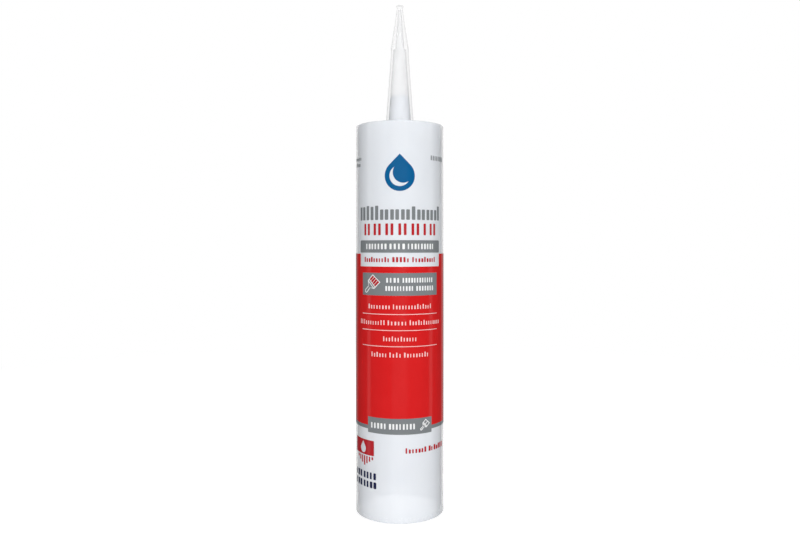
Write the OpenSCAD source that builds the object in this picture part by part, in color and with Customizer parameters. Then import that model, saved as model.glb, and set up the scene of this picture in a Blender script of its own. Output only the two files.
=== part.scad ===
// Caulk tube: a moulded barrel with a closed head, a fixed nozzle, a follower plunger and a
// printed wall. It stands on its open foot, with its axis on Z and the foot at Z = 0.
// The front of the print faces -Y.

/* [Barrel] */
// Outside diameter of the moulded barrel
barrel_d = 49.4; // [44:0.1:56]
// Length of the barrel from its open foot to its top rim
barrel_h = 216; // [200:1:250]
// Thickness of the barrel wall
wall_t = 1.2; // [0.8:0.1:2.4]
// Rounding of the edges at the rim and at the foot
edge_round = 0.4; // [0.1:0.05:0.5]
// Depth of the head below the top rim
head_depth = 5; // [3:0.5:8]
// Thickness of the head
head_t = 1.8; // [1.2:0.1:3]
// Height of the outlet spigot's end above the top rim
spigot_rise = 17; // [8:0.5:28]
// Bore of the outlet spigot
spigot_bore_d = 7; // [4:0.5:8]

/* [Nozzle] */
// Outside diameter of the nozzle level with the top rim
nozzle_base_d = 16; // [14.5:0.1:20]
// Outside diameter of the straight neck between the two cones
neck_d = 10.1; // [9.5:0.1:12]
// Outside diameter where the upper cone turns into the slim end
slim_d = 5.7; // [5:0.1:7]
// Outside diameter of the slim end under its bead
tip_d = 3.3; // [2.8:0.1:4.5]
// Diameter of the bead round the tip
bead_d = 4.2; // [3.4:0.1:6]
// Height of the lower cone above the top rim
lower_cone_h = 40.5; // [34:0.5:50]
// Height of the straight neck
neck_h = 4.3; // [2:0.1:8]
// Height of the upper cone
upper_cone_h = 13.4; // [8:0.2:20]
// Height of the slim end below its bead
slim_h = 9.3; // [6:0.1:16]
// Height of the bead
bead_h = 1.3; // [0.6:0.1:2.5]
// Thickness of the nozzle's lower wall
nozzle_wall = 1.35; // [0.9:0.05:1.6]
// Width of the passage above the step in the neck
passage_d = 5.2; // [3:0.1:6]
// Depth of the step below the upper cone
step_depth = 1.2; // [0.5:0.1:2]
// Width of the passage under the closed tip
tip_bore_d = 1.6; // [0.8:0.1:2]
// Thickness of the closed tip
tip_skin = 1.6; // [0.8:0.1:3]
// Diameter of the flange at the nozzle's foot
flange_d = 23; // [20:0.5:28]
// Thickness of the flange
flange_t = 1.5; // [1:0.1:2]
// Number of gussets between the flange and the cone
gussets = 8; // [4:1:12]
// Thickness of a gusset
gusset_t = 1; // [0.6:0.1:2]
// Clearance between the nozzle's socket and the spigot
taper_clear = 0.1; // [0.05:0.01:0.2]

/* [Seal and paste] */
// Thickness of the foil seal on the spigot's end
foil_t = 0.12; // [0.08:0.02:0.4]
// How far the foil stays inside the edge of the spigot's end
foil_inset = 0.2; // [0.1:0.05:0.8]
// Gap between the paste and the walls that hold it
paste_gap = 0.05; // [0.02:0.01:0.2]

/* [Plunger] */
// Distance from the barrel's foot to the plunger's skirt
plunger_inset = 21; // [8:1:40]
// Length of the plunger
plunger_h = 18; // [14:0.5:26]
// Running clearance between the lips and the bore
lip_clear = 0.05; // [0.02:0.01:0.1]
// How far the lips stand out from the skirt
lip_out = 0.9; // [0.4:0.1:1.6]
// Width of the land on each lip
lip_h = 1.4; // [0.8:0.1:2.4]
// Thickness of the skirt
skirt_t = 1.3; // [0.9:0.1:2.2]
// Thickness of the face that pushes the paste
face_t = 1.6; // [1:0.1:3]
// Number of ribs inside the skirt
ribs = 8; // [4:1:12]
// Thickness of a rib
rib_t = 1; // [0.6:0.1:2]
// How far a rib reaches in from the skirt
rib_w = 2.5; // [1:0.1:5]
// Height of a rib
rib_h = 6; // [3:0.5:9]

/* [Print: colour fields] */
// Thickness of one layer of print
ink_t = 0.08; // [0.05:0.01:0.12]
// Gap that keeps a layer of print clear of what it lies on
ink_gap = 0.02; // [0.02:0.01:0.06]
// Height of the red field's lower edge above the foot
field_low = 51.5; // [48:0.1:58]
// Height of the grey ring under the red field
ring_h = 2; // [1:0.1:4]
// Width of the grey heading bar and of the bare box under it
bar_w = 52; // [44:0.5:56]
// Height of the grey heading bar
bar_h = 6.7; // [5:0.1:9]
// Height of the bare box under the heading bar
bare_box_h = 7.5; // [5:0.1:10]
// How far the red field stops below the heading bar's lower edge
field_step = 0.6; // [0.2:0.1:2]
// Width of the grey feature panel
panel_w = 47; // [42:0.5:54]
// Height of the grey feature panel
panel_h = 12.1; // [10:0.1:14]
// Red strip between the bare box and the feature panel
panel_drop = 3.4; // [1:0.1:6]
// Width of the grey foot panel
foot_panel_w = 38; // [34:0.5:46]
// Height of the grey foot panel
foot_panel_h = 8.5; // [6:0.1:10]
// Height of the foot panel's lower edge above the foot
foot_panel_low = 47.7; // [44:0.1:49]

/* [Print: marks] */
// Depth of the drop mark's centre below the top rim
mark_depth = 28; // [22:0.5:32]
// Height of the drop mark
mark_h = 20; // [12:0.5:22]
// Width of the drop mark
mark_w = 16.4; // [9:0.1:18]
// Width of the red badge
badge_w = 16.8; // [8:0.1:18]
// Height of the red badge
badge_h = 8.2; // [6:0.1:9.5]
// Place of the badge's middle along the wall
badge_s = -23.2; // [-30:0.1:-18]
// Height of the badge's lower edge above the foot
badge_low = 35; // [30:0.1:38]
// Length of the brush sign on the feature panel
brush_l = 11.2; // [7:0.1:12]
// Length of the brush sign on the foot panel
small_brush_l = 6.6; // [4:0.1:7]
// Space between a brush sign and its panel's end
brush_margin = 1.4; // [0.5:0.1:2]

/* [Print: lines] */
// Depth of the upper heading below the top rim
heading_depth = 45.7; // [44:0.1:50]
// Height of the tall blocks in the upper heading
heading_h = 7.7; // [5:0.1:9]
// Height of the low blocks in the upper heading
heading_low_h = 5.6; // [4:0.1:7]
// Gap between blocks of the upper heading
heading_gap = 0.9; // [0.4:0.1:2]
// Space under the upper heading
heading_drop = 1.9; // [1:0.1:4]
// Height of the lower heading
subheading_h = 6.3; // [4:0.1:8]
// Gap between blocks of the lower heading
subheading_gap = 1.4; // [0.4:0.1:3]
// Space under the lower heading
subheading_drop = 2.7; // [1:0.1:4]
// Gap between words
word_gap = 1.8; // [0.6:0.1:3]
// Height of the words in the bars and panels
label_h = 3; // [1.6:0.1:4]
// Spacing of the claim lines
claim_pitch = 8.6; // [6:0.1:9]
// Depth of the first claim line below the feature panel
claim_drop = 5.9; // [4:0.1:8]
// Height of the words in the claim lines
claim_h = 2.6; // [1.6:0.1:4]
// Width of the rules between the claim lines
rule_w = 47; // [30:0.5:54]
// Height of a rule
rule_h = 0.4; // [0.3:0.1:1]
// Spacing of the two lines on the feature panel
panel_pitch = 4.4; // [4:0.1:5]
// Height of the small words near the rim and of the red words near the foot
note_h = 1.9; // [1:0.1:2.6]
// Depth of the small words below the top rim
note_depth = 18.5; // [12:0.5:22]
// Spacing of the two small lines at the left
note_pitch = 3.1; // [2.8:0.1:5]
// Place of the small words at the left, along the wall from the front
left_note_s = -29.5; // [-34:0.5:-20]
// Place of the small words at the right, along the wall from the front
right_note_s = 24.5; // [18:0.5:34]
// Place of the red words near the foot, along the wall from the front
foot_note_s = 16.5; // [6:0.5:24]
// Height of the contents lines
contents_h = 3.5; // [2:0.1:4]
// Height of the lower contents line above the foot
contents_low = 17.5; // [10:0.1:22]
// Spacing of the contents lines
contents_pitch = 4.8; // [4.2:0.1:6]
// Place of the contents lines, along the wall from the front
contents_s = -22.5; // [-34:0.5:-10]

/* [Hidden] */
$fn = 96;
edge_steps = 4;
drop_steps = 36;

barrel_r = barrel_d / 2;
bore_r = barrel_r - wall_t;
edge_r = min(edge_round, wall_t / 2 - 0.05);
head_top = barrel_h - head_depth;
head_under = head_top - head_t;
spigot_top = barrel_h + spigot_rise;
spigot_bore_r = spigot_bore_d / 2;

// The nozzle's levels, from the head up
neck_z = barrel_h + lower_cone_h;
upper_z = neck_z + neck_h;
slim_z = upper_z + upper_cone_h;
bead_z = slim_z + slim_h;
tip_z = bead_z + bead_h;
step_z = upper_z - step_depth;
lower_slope = (nozzle_base_d - neck_d) / 2 / lower_cone_h;

// Outside radius of the nozzle's lower cone, and the radius of the socket inside it
function cone_r(z) = nozzle_base_d / 2 - (z - barrel_h) * lower_slope;
function socket_r(z) = cone_r(z) - nozzle_wall;
function spigot_r(z) = socket_r(z) - taper_clear;

plunger_top = plunger_inset + plunger_h;
lip_r = bore_r - lip_clear;
skirt_r = lip_r - lip_out;

// The print's levels, from the rim down
heading_top = barrel_h - heading_depth;
subheading_top = heading_top - heading_h - heading_drop;
bar_top = subheading_top - subheading_h - subheading_drop;
bar_low = bar_top - bar_h;
bare_low = bar_low - bare_box_h;
field_top = bar_low - field_step;
panel_top = bare_low - panel_drop;
panel_low = panel_top - panel_h;
first_claim = panel_low - claim_drop;
note_low = barrel_h - note_depth - note_h;
ring_low = field_low - ring_h;

// Degrees of turn for each millimetre along the barrel's outside
turn = 360 / (PI * barrel_d);

// A drop's crescent: its radius and its offset, as shares of the belly's radius
light_share = 0.68;
light_shift = 0.22;

// A brush sign's lean, and its parts as shares of its length
brush_lean = -46;
grip_w_share = 0.14;
head_w_share = 0.48;
ferrule_share = 0.16;
bristle_share = 0.34;

// Places of the brush signs, and of the words beside them
brush_s = brush_margin + brush_l / 2 - panel_w / 2;
panel_z = (panel_top + panel_low) / 2;
panel_text_s = (brush_s + brush_l / 2 + panel_w / 2) / 2;
small_brush_s = foot_panel_w / 2 - brush_margin - small_brush_l / 2;
foot_panel_z = foot_panel_low + foot_panel_h / 2;
foot_text_s = (small_brush_s - small_brush_l / 2 - foot_panel_w / 2) / 2;

// Block widths of the two headings, and word widths of the other lines
heading_widths = [for (i = [0:9]) [5.4, 3, 4.6][i % 3]];
subheading_widths = [for (i = [0:6]) [5.2, 4, 6][i % 3]];
bar_words = [13, 8, 16];
box_words = [16, 9, 15];
panel_words = [[7, 18], [15, 11]];
claims = [[13, 22], [17, 10, 20], [18], [9, 6, 14]];
foot_panel_words = [9, 14];
left_note_words = [[8], [6]];
right_note_words = [12];
foot_note_words = [12, 13];
contents_words = [7, 9];

// Inside radius of a layer of print
function ink_r(layer) = barrel_r + ink_gap + layer * (ink_t + ink_gap);
function total(v, n) = n <= 0 ? 0 : v[n - 1] + total(v, n - 1);
function row_width(v, gap) = total(v, len(v)) + gap * (len(v) - 1);
function arc_points(x, y, r, a0, a1) =
    [for (i = [0:edge_steps]) let (a = a0 + (a1 - a0) * i / edge_steps)
        [x + r * cos(a), y + r * sin(a)]];

// A stretch of print along the wall, from arc place s0 to s1 and height z0 to z1
module ink(s0, s1, z0, z1, layer = 0) {
    rotate([0, 0, s0 * turn - 90])
        rotate_extrude(angle = (s1 - s0) * turn)
            translate([ink_r(layer), z0])
                square([ink_t, z1 - z0]);
}

// A band of print all round the wall
module ink_band(z0, z1, layer = 0) {
    rotate_extrude()
        translate([ink_r(layer), z0])
            square([ink_t, z1 - z0]);
}

// The room that a panel takes out of a field of print, with the gap round the panel
module ink_window(s0, s1, z0, z1) {
    rotate([0, 0, (s0 - ink_gap) * turn - 90])
        rotate_extrude(angle = (s1 - s0 + 2 * ink_gap) * turn)
            translate([barrel_r - wall_t / 2, z0 - ink_gap])
                square([wall_t, z1 - z0 + 2 * ink_gap]);
}

// A flat drawing printed on the wall, with its origin at arc place s and height z, that
// stays within reach of its origin
module ink_drawing(s, z, reach, layer = 0) {
    intersection() {
        ink_band(z - reach, z + reach, layer);
        rotate([0, 0, s * turn])
            translate([0, 0, z])
                rotate([90, 0, 0])
                    linear_extrude(height = barrel_d)
                        children();
    }
}

// A row of blocks, centred at arc place s, standing on height z
module ink_row(widths, s, z, h, gap, layer = 0) {
    start = s - row_width(widths, gap) / 2;
    for (i = [0:len(widths) - 1]) {
        left = start + total(widths, i) + gap * i;
        ink(left, left + widths[i], z, z + h, layer);
    }
}

// A water drop, centred on its own height: a round belly whose sides run straight to its tip
module drop(w, h) {
    r = w / 2;
    belly = r - h / 2;
    lean = asin(r / (h / 2 - belly));
    sweep = 180 + 2 * lean;
    polygon(concat([[0, h / 2]],
                   [for (i = [0:drop_steps]) let (a = lean - sweep * i / drop_steps)
                       [r * cos(a), belly + r * sin(a)]]));
}

// The crescent of light left bare in a drop
module drop_light(w, h) {
    r = w / 2;
    translate([0, r - h / 2])
        difference() {
            circle(r * light_share);
            translate([r, r] * light_shift)
                circle(r * light_share);
        }
}

// A flat brush that leans to the right: its grip and ferrule
module brush_grip(l) {
    rotate(brush_lean) {
        translate([-l * grip_w_share / 2, -l / 2])
            square([l * grip_w_share, l / 2]);
        translate([-l * head_w_share / 2, -l * ferrule_share / 2])
            square([l * head_w_share, l * ferrule_share]);
    }
}

// The bristles of the same brush
module brush_bristles(l) {
    rotate(brush_lean)
        translate([-l * head_w_share / 2, l / 2 - l * bristle_share])
            square([l * head_w_share, l * bristle_share]);
}

// One-piece moulded barrel: wall, recessed head and tapered outlet spigot
module barrel() {
    inner_edge = bore_r + edge_r;
    outer_edge = barrel_r - edge_r;
    color([0.93, 0.94, 0.96])
        rotate_extrude()
            polygon(concat(
                arc_points(inner_edge, edge_r, edge_r, 180, 270),
                arc_points(outer_edge, edge_r, edge_r, 270, 360),
                arc_points(outer_edge, barrel_h - edge_r, edge_r, 0, 90),
                arc_points(inner_edge, barrel_h - edge_r, edge_r, 90, 180),
                [[bore_r, head_top], [spigot_r(head_top), head_top],
                 [spigot_r(spigot_top), spigot_top], [spigot_bore_r, spigot_top],
                 [spigot_bore_r, head_under], [bore_r, head_under]]));
}

// Hollow nozzle, closed at its tip, with a flange that sits on the head
module nozzle() {
    color([0.95, 0.95, 0.96]) {
        rotate_extrude()
            polygon([
                [socket_r(head_top), head_top], [flange_d / 2, head_top],
                [flange_d / 2, head_top + flange_t],
                [cone_r(head_top + flange_t), head_top + flange_t],
                [neck_d / 2, neck_z], [neck_d / 2, upper_z], [slim_d / 2, slim_z],
                [tip_d / 2, bead_z], [bead_d / 2, bead_z + bead_h * 0.3],
                [bead_d / 2, tip_z], [0, tip_z], [0, tip_z - tip_skin],
                [tip_bore_d / 2, tip_z - tip_skin - tip_bore_d / 2],
                [passage_d / 2, step_z], [neck_d / 2 - nozzle_wall, step_z],
                [neck_d / 2 - nozzle_wall, neck_z]]);
        for (i = [0:gussets - 1])
            rotate([0, 0, i * 360 / gussets])
                nozzle_gusset();
    }
}

// One gusset, sunk a little into the flange and into the cone
module nozzle_gusset() {
    sink = nozzle_wall / 2;
    low = head_top + flange_t / 2;
    top = barrel_h - edge_r;
    translate([0, gusset_t / 2, 0])
        rotate([90, 0, 0])
            linear_extrude(height = gusset_t)
                polygon([[cone_r(low) - sink, low], [flange_d / 2 - gusset_t, low],
                         [flange_d / 2 - gusset_t, head_top + flange_t],
                         [cone_r(top), top], [cone_r(top) - sink, top]]);
}

// Foil disc glued on the end of the spigot
module inner_seal() {
    color([0.8, 0.81, 0.83])
        translate([0, 0, spigot_top])
            cylinder(r = spigot_r(spigot_top) - foil_inset, h = foil_t);
}

// Paste between the plunger and the head, and in the spigot
module sealant() {
    color([0.9, 0.92, 0.93])
        rotate_extrude()
            polygon([[0, plunger_top], [bore_r - paste_gap, plunger_top],
                     [bore_r - paste_gap, head_under - paste_gap],
                     [spigot_bore_r - paste_gap, head_under - paste_gap],
                     [spigot_bore_r - paste_gap, spigot_top - paste_gap],
                     [0, spigot_top - paste_gap]]);
}

// Follower plunger: a cup open to the foot, with a wiping lip at each end
module plunger() {
    cup_r = skirt_r - skirt_t;
    cup_top = plunger_top - face_t;
    color([0.88, 0.89, 0.9]) {
        rotate_extrude()
            polygon([
                [0, cup_top], [cup_r, cup_top], [cup_r, plunger_inset + lip_h + lip_out],
                [cup_r + lip_out, plunger_inset + lip_h], [cup_r + lip_out, plunger_inset],
                [lip_r, plunger_inset], [lip_r, plunger_inset + lip_h],
                [skirt_r, plunger_inset + lip_h + lip_out],
                [skirt_r, plunger_top - lip_h - 2 * lip_out],
                [lip_r, plunger_top - lip_h - lip_out], [lip_r, plunger_top - lip_out],
                [skirt_r, plunger_top], [0, plunger_top]]);
        for (i = [0:ribs - 1])
            rotate([0, 0, i * 360 / ribs])
                plunger_rib(cup_r, cup_top);
    }
}

// One rib in the corner between the skirt and the face, sunk a little into both
module plunger_rib(cup_r, cup_top) {
    translate([0, rib_t / 2, 0])
        rotate([90, 0, 0])
            linear_extrude(height = rib_t)
                polygon([[cup_r - rib_w, cup_top + face_t / 2], [cup_r - rib_w, cup_top - rib_h / 2],
                         [cup_r, cup_top - rib_h], [cup_r + skirt_t / 2, cup_top - rib_h],
                         [cup_r + skirt_t / 2, cup_top + face_t / 2]]);
}

// Red field with its windows, the badge, the lower heading and the red words
module print_red() {
    color([0.84, 0.15, 0.15]) {
        difference() {
            ink_band(field_low, field_top);
            ink_window(-bar_w / 2, bar_w / 2, bare_low, bar_top);
            ink_window(-panel_w / 2, panel_w / 2, panel_low, panel_top);
            ink_window(-foot_panel_w / 2, foot_panel_w / 2, foot_panel_low,
                       foot_panel_low + foot_panel_h);
        }
        difference() {
            ink(badge_s - badge_w / 2, badge_s + badge_w / 2, badge_low, badge_low + badge_h);
            rotate([0, 0, badge_s * turn])
                translate([0, 0, badge_low + badge_h / 2])
                    rotate([90, 0, 0])
                        linear_extrude(height = barrel_d)
                            drop(badge_h * 0.55, badge_h * 0.75);
        }
        ink_row(subheading_widths, 0, subheading_top - subheading_h, subheading_h, subheading_gap);
        ink_row(box_words, 0, bare_low + (bare_box_h - label_h) / 2, label_h, word_gap);
        ink_row(foot_note_words, foot_note_s, badge_low + (badge_h - note_h) / 2, note_h, word_gap);
        ink_drawing(brush_s, panel_z, brush_l, 1)
            brush_bristles(brush_l);
    }
}

// Grey ring and panels, the upper heading and the small words near the rim
module print_grey() {
    color([0.47, 0.49, 0.5]) {
        difference() {
            ink_band(ring_low, field_low);
            ink_window(-foot_panel_w / 2, foot_panel_w / 2, foot_panel_low,
                       foot_panel_low + foot_panel_h);
        }
        ink(-foot_panel_w / 2, foot_panel_w / 2, foot_panel_low, foot_panel_low + foot_panel_h);
        ink(-bar_w / 2, bar_w / 2, bar_low, bar_top);
        ink(-panel_w / 2, panel_w / 2, panel_low, panel_top);
        heading_start = -row_width(heading_widths, heading_gap) / 2;
        for (i = [0:len(heading_widths) - 1]) {
            left = heading_start + total(heading_widths, i) + heading_gap * i;
            height = i % 3 == 1 ? heading_h : heading_low_h;
            ink(left, left + heading_widths[i], heading_top - heading_h,
                heading_top - heading_h + height);
        }
        for (i = [0:1])
            ink_row(left_note_words[i], left_note_s, note_low - i * note_pitch, note_h, word_gap);
        ink_row(right_note_words, right_note_s, note_low, note_h, word_gap);
    }
}

// White words on the bars and panels, the claim lines with their rules, and the brush grips
module print_white() {
    color([0.97, 0.97, 0.97]) {
        ink_row(bar_words, 0, bar_low + (bar_h - label_h) / 2, label_h, word_gap, 1);
        for (i = [0:1])
            ink_row(panel_words[i], panel_text_s,
                    panel_z + (0.5 - i) * panel_pitch - claim_h / 2, claim_h, word_gap, 1);
        for (i = [0:len(claims) - 1])
            ink_row(claims[i], 0, first_claim - i * claim_pitch - claim_h / 2, claim_h,
                    word_gap, 1);
        for (i = [1:len(claims) - 1])
            ink(-rule_w / 2, rule_w / 2, first_claim - (i - 0.5) * claim_pitch,
                first_claim - (i - 0.5) * claim_pitch + rule_h, 1);
        ink_row(foot_panel_words, foot_text_s, foot_panel_z - label_h / 2, label_h,
                word_gap, 1);
        ink_drawing(brush_s, panel_z, brush_l, 1)
            brush_grip(brush_l);
        ink_drawing(small_brush_s, foot_panel_z, small_brush_l, 1) {
            brush_grip(small_brush_l);
            brush_bristles(small_brush_l);
        }
    }
}

// Drop mark with its bare crescent
module print_blue() {
    color([0, 0.36, 0.62])
        ink_drawing(0, barrel_h - mark_depth, mark_h)
            difference() {
                drop(mark_w, mark_h);
                drop_light(mark_w, mark_h);
            }
}

// Two contents lines near the foot
module print_navy() {
    color([0.13, 0.15, 0.3])
        for (i = [0:1])
            ink_row(contents_words, contents_s, contents_low + i * contents_pitch, contents_h,
                    word_gap);
}

barrel();
nozzle();
inner_seal();
sealant();
plunger();
print_red();
print_grey();
print_white();
print_blue();
print_navy();
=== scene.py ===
from math import acos, asin, cos, degrees, pi, radians, sin, sqrt
from random import Random

import bmesh
import bpy
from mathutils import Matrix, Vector
from mathutils.geometry import delaunay_2d_cdt


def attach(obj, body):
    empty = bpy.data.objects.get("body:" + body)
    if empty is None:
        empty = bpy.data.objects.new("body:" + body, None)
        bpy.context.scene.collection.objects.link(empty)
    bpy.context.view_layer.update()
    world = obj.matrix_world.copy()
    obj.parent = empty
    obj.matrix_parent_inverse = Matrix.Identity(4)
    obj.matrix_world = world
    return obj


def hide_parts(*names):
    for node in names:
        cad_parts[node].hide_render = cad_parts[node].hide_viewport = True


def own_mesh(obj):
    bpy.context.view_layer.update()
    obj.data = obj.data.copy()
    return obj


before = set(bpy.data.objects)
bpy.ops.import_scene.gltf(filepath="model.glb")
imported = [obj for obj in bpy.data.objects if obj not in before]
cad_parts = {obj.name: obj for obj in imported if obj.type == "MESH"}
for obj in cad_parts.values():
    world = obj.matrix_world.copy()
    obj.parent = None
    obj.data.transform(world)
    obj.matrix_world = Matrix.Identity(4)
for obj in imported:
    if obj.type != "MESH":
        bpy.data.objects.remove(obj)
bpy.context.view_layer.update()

# Barrel
# One moulding of natural white polyethylene: a thin wall, a head set a little below the rim, and
# a tapered spigot that the paste leaves through. The print lies straight on the wall.

# Sizes are in mm, unless a name or comment says metres, and MM turns them into metres
MM = 0.001
BARREL_R = 24.7
BORE_R = 23.5
BARREL_H = 216
EDGE_ROUND = 0.4
HEAD_TOP = 211
HEAD_UNDER = 209.2
HEAD_FILLET = 0.6
SPIGOT_TOP = 233
SPIGOT_BORE_R = 3.5
SPIGOT_ROUND = 0.2
CONE_R = 8
NECK_R = 5.05
NECK_Z = 256.5
CONE_TAPER = (CONE_R - NECK_R) / (NECK_Z - BARREL_H)
NOZZLE_WALL = 1.35
SOCKET_GAP = 0.1
TURNED_STEPS = 192
MERGE_METRES = MM / 1000
CRISP_ANGLE = radians(32)
POLYETHYLENE = (0.9, 0.935, 0.99, 1)
POLYETHYLENE_SHADE = (0.885, 0.92, 0.975, 1)
# How solid the wall looks, and how much less so in the bore and where it is seen edge-on
WALL_ALPHA = 0.85
BORE_CLEARER = 0.52
EDGE_CLEARER = 0.42
EDGE_FACING = (0.62, 0.76)
# Scuffs begin at the first distance from the foot or the rim, and are full at the second
FOOT_SCUFF = (4, 0.6)
RIM_SCUFF = (1.5, 0.2)


def cone_r(z):
    """Outside radius of the nozzle's lower cone at height z."""
    return CONE_R - (z - BARREL_H) * CONE_TAPER


def spigot_r(z):
    """Radius of the spigot, which the nozzle's socket slides over."""
    return cone_r(z) - NOZZLE_WALL - SOCKET_GAP


class Signal:
    """A socket's number, so that a network's maths reads as plain Python."""

    def __init__(self, net, socket):
        self.net, self.socket = net, socket

    def of(self, name):
        """Another output of the same node."""
        return Signal(self.net, self.socket.node.outputs[name])

    def __add__(self, other):
        return self.net.maths("ADD", self, other)

    def __sub__(self, other):
        return self.net.maths("SUBTRACT", self, other)

    def __rsub__(self, other):
        return self.net.maths("SUBTRACT", other, self)

    def __mul__(self, other):
        return self.net.maths("MULTIPLY", self, other)

    def __truediv__(self, other):
        return self.net.maths("DIVIDE", self, other)

    def __rtruediv__(self, other):
        return self.net.maths("DIVIDE", other, self)

    __radd__ = __add__
    __rmul__ = __mul__


class Net:
    """A node tree under construction, for a shape or for a finish."""

    def __init__(self, tree):
        self.tree = tree
        tree.nodes.clear()

    def node(self, kind, values=(), out=0, **settings):
        """A new node: its settings first, then its sockets by name or number."""
        made = self.tree.nodes.new(kind)
        for setting, value in settings.items():
            setattr(made, setting, value)
        for socket, value in dict(values).items():
            if isinstance(value, Signal):
                self.tree.links.new(value.socket, made.inputs[socket])
            else:
                made.inputs[socket].default_value = value
        return Signal(self, made.outputs[out]) if made.outputs else made

    def maths(self, operation, *values):
        """A Math node of that operation on numbers or signals."""
        return self.node("ShaderNodeMath", enumerate(values), operation=operation)

    def place(self):
        """The point's place on the object, in metres."""
        return self.node("ShaderNodeTexCoord").of("Object")

    def reach_and_height(self):
        """The point's distance from the axis and its height, in metres."""
        spot = self.node("ShaderNodeSeparateXYZ", {0: self.place()})
        return self.maths("SQRT", spot * spot + spot.of("Y") * spot.of("Y")), spot.of("Z")

    def edge_on(self):
        """0 where the surface faces the eye, and 1 where it is seen edge-on."""
        return self.node("ShaderNodeLayerWeight", {"Blend": 0.5}).of("Facing")

    def noise(self, per_mm, stretch=(1, 1, 1), detail=2, seed=0):
        """Noise from 0 to 1 with so many features to a millimetre."""
        spot = self.node("ShaderNodeMapping",
                         {"Vector": self.place(), "Scale": stretch, "Location": (seed, 0, 0)})
        return self.node("ShaderNodeTexNoise",
                         {"Vector": spot, "Scale": per_mm / MM, "Detail": detail})

    def step(self, value, zero, one):
        """0 at zero and past it, 1 at one and past it, with a soft change between the two."""
        return self.node("ShaderNodeMapRange", {"Value": value, "From Min": zero, "From Max": one},
                         interpolation_type="SMOOTHSTEP")

    def tint(self, mask, plain, changed):
        """A colour that goes from plain to changed as the mask goes from 0 to 1."""
        return self.node("ShaderNodeMix", {0: mask, 6: plain, 7: changed}, out=2,
                         data_type="RGBA")

    def bump(self, height, depth_mm):
        """A normal for a relief that is depth_mm deep where height goes from 0 to 1."""
        return self.node("ShaderNodeBump",
                         {"Height": height, "Distance": depth_mm * MM, "Strength": 1.0})


def finish(name, draw):
    """A material whose Principled sockets are what draw returns for its net."""
    material = bpy.data.materials.new(name)
    material.use_nodes = True
    net = Net(material.node_tree)
    shader = net.node("ShaderNodeBsdfPrincipled", draw(net))
    net.node("ShaderNodeOutputMaterial", {"Surface": shader})
    return material


def shape_tree(name, **inputs):
    """A Geometry Nodes tree with those named inputs, its net and its input signals."""
    tree = bpy.data.node_groups.new(name, "GeometryNodeTree")
    for label, kind in {"Shape": "Geometry", **inputs, "Finish": "Material"}.items():
        tree.interface.new_socket(label, in_out="INPUT", socket_type="NodeSocket" + kind)
    tree.interface.new_socket("Piece", in_out="OUTPUT", socket_type="NodeSocketGeometry")
    net = Net(tree)
    given = net.node("NodeGroupInput")
    return tree, net, given


def close_tree(net, given, shape):
    """Smooth faces with crisp edges, real geometry, and the finish, at the end of a tree."""
    smooth = net.node("GeometryNodeSetShadeSmooth", {"Geometry": shape, "Shade Smooth": True})
    turn = net.node("GeometryNodeInputMeshEdgeAngle")
    sharp = net.node("FunctionNodeCompare", {"A": turn, "B": CRISP_ANGLE},
                     operation="GREATER_THAN")
    crisp = net.node("GeometryNodeSetShadeSmooth",
                     {"Geometry": smooth, "Selection": sharp, "Shade Smooth": False},
                     domain="EDGE")
    real = net.node("GeometryNodeRealizeInstances", {"Geometry": crisp})
    done = net.node("GeometryNodeSetMaterial", {"Geometry": real, "Material": given.of("Finish")})
    net.node("NodeGroupOutput", {"Piece": done})


def shaped(name, mesh, tree, material, **inputs):
    """A plain mesh piece: the mesh put through a tree with those inputs."""
    piece = bpy.data.objects.new(name, mesh)
    bpy.context.scene.collection.objects.link(piece)
    modifier = piece.modifiers.new("shape", "NODES")
    modifier.node_group = tree
    values = {**inputs, "Finish": material}
    for item in tree.interface.items_tree:
        if item.in_out == "INPUT" and item.name in values:
            modifier[item.identifier] = values[item.name]
    seen = piece.evaluated_get(bpy.context.evaluated_depsgraph_get())
    plain = bpy.data.meshes.new_from_object(seen)
    piece.modifiers.clear()
    piece.data = plain
    return piece


def arc(x, y, r, start, end, steps=6):
    """Points on a rounding about (x, y), from angle start to angle end in degrees."""
    turns = [radians(start + (end - start) * i / steps) for i in range(steps + 1)]
    return [(x + r * cos(a), y + r * sin(a)) for a in turns]


def outline(points):
    """A mesh of loose points, in metres, for a profile given as (radius, height) in mm."""
    mesh = bpy.data.meshes.new("profile")
    mesh.from_pydata([(x * MM, 0, z * MM) for x, z in points], [], [])
    return mesh


# The turned tree lays one ring of a grid on each point of the profile, and closes the seam
turned, net, given = shape_tree("turned round the axis", **{"Steps round": "Int"})
rows = net.node("GeometryNodeAttributeDomainSize", {"Geometry": given.of("Shape")})
steps = given.of("Steps round")
grid = net.node("GeometryNodeMeshGrid", {"Vertices X": rows, "Vertices Y": steps + 1})
index = net.node("GeometryNodeInputIndex")
row = net.maths("FLOOR", (index + 0.5) / (steps + 1))
spot = net.node("GeometryNodeSampleIndex",
                {"Geometry": given.of("Shape"), "Value": net.node("GeometryNodeInputPosition"),
                 "Index": row}, data_type="FLOAT_VECTOR")
spot = net.node("ShaderNodeSeparateXYZ", {0: spot})
turn = (row * (steps + 1) - index) * (2 * pi) / steps
ring = net.node("ShaderNodeCombineXYZ", {"X": spot * net.maths("COSINE", turn),
                                         "Y": spot * net.maths("SINE", turn),
                                         "Z": spot.of("Z")})
wall = net.node("GeometryNodeSetPosition", {"Geometry": grid, "Position": ring})
wall = net.node("GeometryNodeMergeByDistance", {"Geometry": wall, "Distance": MERGE_METRES})
close_tree(net, given, wall)


def turned_piece(name, points, material):
    """A closed piece turned from a profile that runs anticlockwise in (radius, height)."""
    return shaped(name, outline(points + points[:1]), turned, material,
                  **{"Steps round": TURNED_STEPS})


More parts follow.
